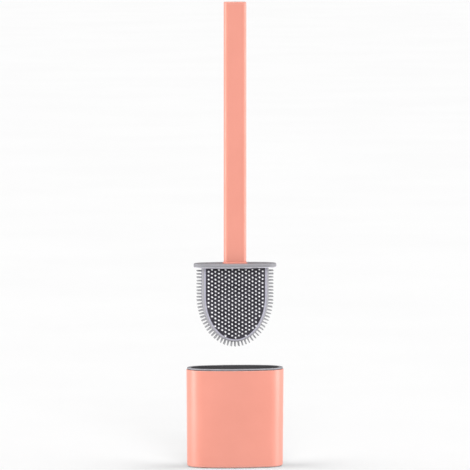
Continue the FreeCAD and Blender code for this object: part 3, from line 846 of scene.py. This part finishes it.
class TOILET_BRUSH_OT_handle(PieceOperator, bpy.types.Operator):
    """Build the flat tube of the handle, its end cap and the flared collar at its foot"""
    bl_idname = "toilet_brush.handle"
    bl_label = "Handle"

    def execute(self, context):
        s = context.scene.toilet_brush
        joint = TUBE_CORNER.z
        tube = [(0, LID_TOP, 0), (0, joint, s.seam_round),
                (s.handle_wall, joint, 0), (s.handle_wall, LID_TOP, 0)]
        self.add("tube_of_handle", "handle_tube", soften(tube, closed=True), closed=True)
        skirt = s.handle_wall + s.skirt_fit
        hollow = skirt + s.skirt_wall
        cap = [(hollow, joint, 0), (hollow, CAP_SKIRT_FOOT, 0), (skirt, CAP_SKIRT_FOOT, 0), (skirt, joint, 0),
               (0, joint, s.seam_round), (0, HANDLE_TOP, s.cap_round),
               (s.handle_corner - CAP_MIDDLE, HANDLE_TOP, 0)]
        self.add("cap_of_handle", "handle_end_cap", soften(cap))
        rise = COLLAR_TOP - LID_TOP - s.collar_edge
        turns = [math.pi / 2 * step / FLARE_STEPS for step in range(FLARE_STEPS)]
        flare = [(-s.collar_flare * (1 - math.sin(turn)),
                  LID_TOP + s.collar_edge + rise * (1 - math.cos(turn)), 0.0) for turn in turns]
        collar = [(-COLLAR_GRIP, LID_TOP, 0.0), (-s.collar_flare, LID_TOP, 0.0), *flare,
                  (-COLLAR_GRIP * 3, COLLAR_TOP, 0.0), (-COLLAR_GRIP, COLLAR_TOP, 0.0)]
        self.add("collar_of_handle", "handle_collar", collar, closed=True)
        return {"FINISHED"}

    def add(self, name, node, path, closed=False):
        """A coral piece round the handle's outline."""
        mesh = make_mesh(node + "_skin", *loft(bar, path, closed=closed))
        add_piece(name, mesh, coral_plastic(drawn=True), "brush", [node])


class TOILET_BRUSH_OT_head_core(PieceOperator, bpy.types.Operator):
    """Give the hidden core inside the head its finish"""
    bl_idname = "toilet_brush.head_core"
    bl_label = "Head Core"

    def execute(self, context):
        look = context.scene.toilet_brush_finishes
        # The hidden core borrows the pin tips' painted-highlight colour for its pale edges.
        material = moulded_plastic("core_finish", look.core, look.grey, look.pin_tip_highlight, 0.45)
        core = frame["nodes"]["head_core"]
        core.data.materials.clear()
        core.data.materials.append(material)
        return {"FINISHED"}


class TOILET_BRUSH_OT_head_frame(PieceOperator, bpy.types.Operator):
    """Build the light rubber frame round the head, with painted shade on its rounded edges, and the bristles
    along its edge, painted darker at their roots as shade
    """
    bl_idname = "toilet_brush.head_frame"
    bl_label = "Head Frame"

    def execute(self, context):
        s = context.scene.toilet_brush
        look = context.scene.toilet_brush_finishes
        half = -FACE_FRONT
        section = [(0, -half, s.frame_round), (s.frame_band, -half, s.face_round),
                   (s.frame_band, half, s.face_round), (0, half, s.frame_round)]
        band = loft(shield, soften(section, closed=True), facing, closed=True, ring_closed=False)
        # The edge share colours the frame's roundings darker: painted shade.
        rubber = soft_rubber("frame_finish", look.frame_flat, look.frame_rim_shade, 0.62, share="edge")
        add_piece("frame_of_head", make_mesh("head_frame_skin", *band), rubber, "brush",
                  ["head_frame"])
        rings = stalk_rings(s.bristle_base_radius, s.bristle_tip_radius, s.bristle_length, s.pin_flare)
        stalks = stalk_field("edge_bristle_skin", rings, s.bristle_length, bristle_feet(), s.lean,
                             BRISTLE_SEED)
        # The reach share paints each bristle darker towards its root: painted shade.
        material = soft_rubber("bristle_finish", look.bristle_root_shade, look.bristle_tip, 0.62, share="reach")
        add_piece("edge_bristles", stalks, material, "brush")
        return {"FINISHED"}


class TOILET_BRUSH_OT_head_faces(PieceOperator, bpy.types.Operator):
    """Build the two charcoal faces, the front one with its vent; their near-black colour is partly the
    rubber's and partly painted shade between the pins
    """
    bl_idname = "toilet_brush.head_faces"
    bl_label = "Head Faces"

    def execute(self, context):
        s = context.scene.toilet_brush
        look = context.scene.toilet_brush_finishes
        # Near-black faces: charcoal rubber, darkened further as painted shade between the pins.
        material = soft_rubber("charcoal_finish", look.charcoal, look.charcoal_pale, 0.68)
        inset = s.frame_band + s.face_gap
        for side, name in ((1, "front"), (-1, "back")):
            corners = [(inset, side * FACE_INNER, 0), (inset, side * FACE_FRONT, s.face_round),
                       (inset + FACE_MARGIN, side * FACE_FRONT, 0)]
            mesh = make_mesh("face_" + name + "_skin", *loft(shield, soften(corners), facing))
            face = add_piece("charcoal_face_" + name, mesh, material, "brush",
                             ["face_" + name])
            if side == 1:
                cut_out(face, self.vent(s))
        return {"FINISHED"}

    def vent(self, s):
        """The vent's shape: a round bar right through the front face."""
        level = LID_UNDER - s.pin_top_margin - s.vent_row * s.pin_pitch
        path = [(0, FACE_FRONT - VENT_SPARE, 0.0), (0, FACE_INNER + VENT_SPARE, 0.0)]
        points, faces, _ = loft(disc(s.vent_radius), path, facing)
        return make_mesh("vent", [(x, y, z + level) for x, y, z in points], faces)


class TOILET_BRUSH_OT_face_pins(PieceOperator, bpy.types.Operator):
    """Build the short pins on both faces, painted dark at the root as shade and white at the tip as a
    highlight
    """
    bl_idname = "toilet_brush.face_pins"
    bl_label = "Face Pins"

    def execute(self, context):
        s = context.scene.toilet_brush
        look = context.scene.toilet_brush_finishes
        # The reach share paints each pin from shade at its root to a highlight at its tip.
        material = soft_rubber("pin_finish", look.pin_root_shade, look.pin_tip_highlight, 0.55, share="reach", full_at=0.5)
        rings = stalk_rings(s.pin_base_radius, s.pin_tip_radius, s.pin_length, s.pin_flare)
        for side, name in ((-1, "front"), (1, "back")):
            mesh = stalk_field("pins_" + name + "_skin", rings, s.pin_length, pin_feet(side), s.lean,
                               PIN_SEED + side)
            add_piece("rubber_pins_" + name, mesh, material, "brush", ["pins_" + name])
        return {"FINISHED"}


class TOILET_BRUSH_OT_stage(PieceOperator, bpy.types.Operator):
    """Set out the pale floor, the soft lights, the white surround and the camera"""
    bl_idname = "toilet_brush.stage"
    bl_label = "Stage"

    def execute(self, context):
        scene = context.scene
        s = scene.toilet_brush_stage
        scene.view_settings.view_transform = "Standard"
        self.add_floor(s)
        self.add_surround(s)
        pieces = self.gather_pieces()
        for side, name in ((-1, "left"), (1, "right")):
            self.add_side_light(name + "_panel", side, pieces, s)
            self.add_far_light(name + "_high_light", s.high, s.high_angle, side * math.pi / 2, s)
        self.add_far_light("front_light", s.front, s.front_angle, 0, s)
        self.add_camera(s)
        return {"FINISHED"}

    def add_floor(self, s):
        """A large pale disc at the foot of the object."""
        points = [(x, y, 0.0) for x, y in disc(s.floor_radius)(0)]
        floor = set_out("floor", make_mesh("floor_sheet", points, [tuple(range(len(points)))]))
        material, tree, shader, place = start_finish("floor_finish")
        shade = blend_colour(tree, clouds(tree, place, 3.0, 0.0, 1.0), s.floor_colour,
                             [part * FLOOR_SHADE for part in s.floor_colour])
        tree.links.new(shade, shader.inputs["Base Color"])
        tree.links.new(clouds(tree, place, 40.0, 0.75, 0.85), shader.inputs["Roughness"])
        shader.inputs["Specular IOR Level"].default_value = 0.2
        floor.data.materials.append(material)

    def add_surround(self, s):
        """The white surround that lights everything evenly."""
        world = bpy.data.worlds.new("white_surround")
        world.use_nodes = True
        sky = world.node_tree.nodes["Background"]
        sky.inputs["Color"].default_value = (1.0, 1.0, 1.0, 1.0)
        sky.inputs["Strength"].default_value = s.sky
        bpy.context.scene.world = world

    def gather_pieces(self):
        """The object's pieces, and a shell that throws none of its coral on the floor."""
        pieces = bpy.data.collections.new("lit_pieces")
        for piece in bpy.context.scene.objects:
            if piece.type == "MESH" and piece.name != "floor":
                pieces.objects.link(piece)
        bpy.data.objects["shell_of_holder"].visible_diffuse = False
        return pieces

    def add_side_light(self, name, side, pieces, s):
        """A soft upright panel that lights the pieces, and not the floor, from one side."""
        light = bpy.data.lights.new(name, "AREA")
        light.shape = "RECTANGLE"
        light.size = s.side_height
        light.size_y = s.side_width
        light.energy = s.side_power
        lamp = set_out(name, light)
        lamp.location = (side * s.side_distance, -s.side_forward, HANDLE_TOP / 2)
        lamp.rotation_euler = (0, side * math.pi / 2, 0)
        lamp.visible_camera = False
        lamp.light_linking.receiver_collection = pieces

    def add_far_light(self, name, strength, height, turn, s):
        """A wide soft light, far off, at that height angle and turned that far round from the front."""
        light = bpy.data.lights.new(name, "SUN")
        light.energy = strength
        light.angle = s.softness
        lamp = set_out(name, light)
        towards = self.direction(height, turn)
        lamp.location = towards * 2
        lamp.rotation_euler = towards.to_track_quat("Z", "Y").to_euler()

    def direction(self, height, turn):
        """The direction at that height angle, turned that far round from the front."""
        level = math.cos(height)
        return Vector((math.sin(turn) * level, -math.cos(turn) * level, math.sin(height)))

    def add_camera(self, s):
        """A long lens a few metres away, so that the view is nearly parallel."""
        data = bpy.data.cameras.new("camera")
        data.lens = data.sensor_width * s.distance / s.view_width
        data.clip_end = 100.0
        camera = set_out("camera", data)
        aim = Vector((s.aim_side, 0, s.aim_height))
        towards = self.direction(s.elevation, s.azimuth)
        camera.location = aim + towards * s.distance
        camera.rotation_euler = towards.to_track_quat("Z", "Y").to_euler()
        bpy.context.scene.camera = camera


BUILD_ORDER = ("holder_shell", "foot_pads", "inner_cup", "splash_lid", "handle", "head_core", "head_frame",
               "head_faces", "face_pins", "stage")


class TOILET_BRUSH_PT_pieces(bpy.types.Panel):
    """Lists the pieces of the toilet brush and its holder"""
    bl_label = "Toilet Brush"
    bl_idname = "TOILET_BRUSH_PT_pieces"
    bl_space_type = "VIEW_3D"
    bl_region_type = "UI"
    bl_category = "Toilet Brush"

    def draw(self, context):
        for step in BUILD_ORDER:
            self.layout.operator("toilet_brush." + step)


SETTINGS = (("toilet_brush_holder", ToiletBrushHolderSizes), ("toilet_brush", ToiletBrushSizes),
            ("toilet_brush_finishes", ToiletBrushFinishes), ("toilet_brush_stage", ToiletBrushStage))
CLASSES = (*(group for _, group in SETTINGS), TOILET_BRUSH_OT_holder_shell, TOILET_BRUSH_OT_foot_pads,
           TOILET_BRUSH_OT_inner_cup, TOILET_BRUSH_OT_splash_lid, TOILET_BRUSH_OT_handle,
           TOILET_BRUSH_OT_head_core, TOILET_BRUSH_OT_head_frame, TOILET_BRUSH_OT_head_faces,
           TOILET_BRUSH_OT_face_pins, TOILET_BRUSH_OT_stage, TOILET_BRUSH_PT_pieces)


def register():
    """Makes the classes and the scene's settings known to Blender."""
    for made in CLASSES:
        bpy.utils.register_class(made)
    for name, group in SETTINGS:
        setattr(bpy.types.Scene, name, PointerProperty(type=group))


def unregister():
    """Takes them away again."""
    for name, _ in SETTINGS:
        delattr(bpy.types.Scene, name)
    for made in reversed(CLASSES):
        bpy.utils.unregister_class(made)


def main():
    """Builds every piece and the stage in order."""
    register()
    for step in BUILD_ORDER:
        getattr(bpy.ops.toilet_brush, step)()
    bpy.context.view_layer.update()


if __name__ == "__main__":
    main()
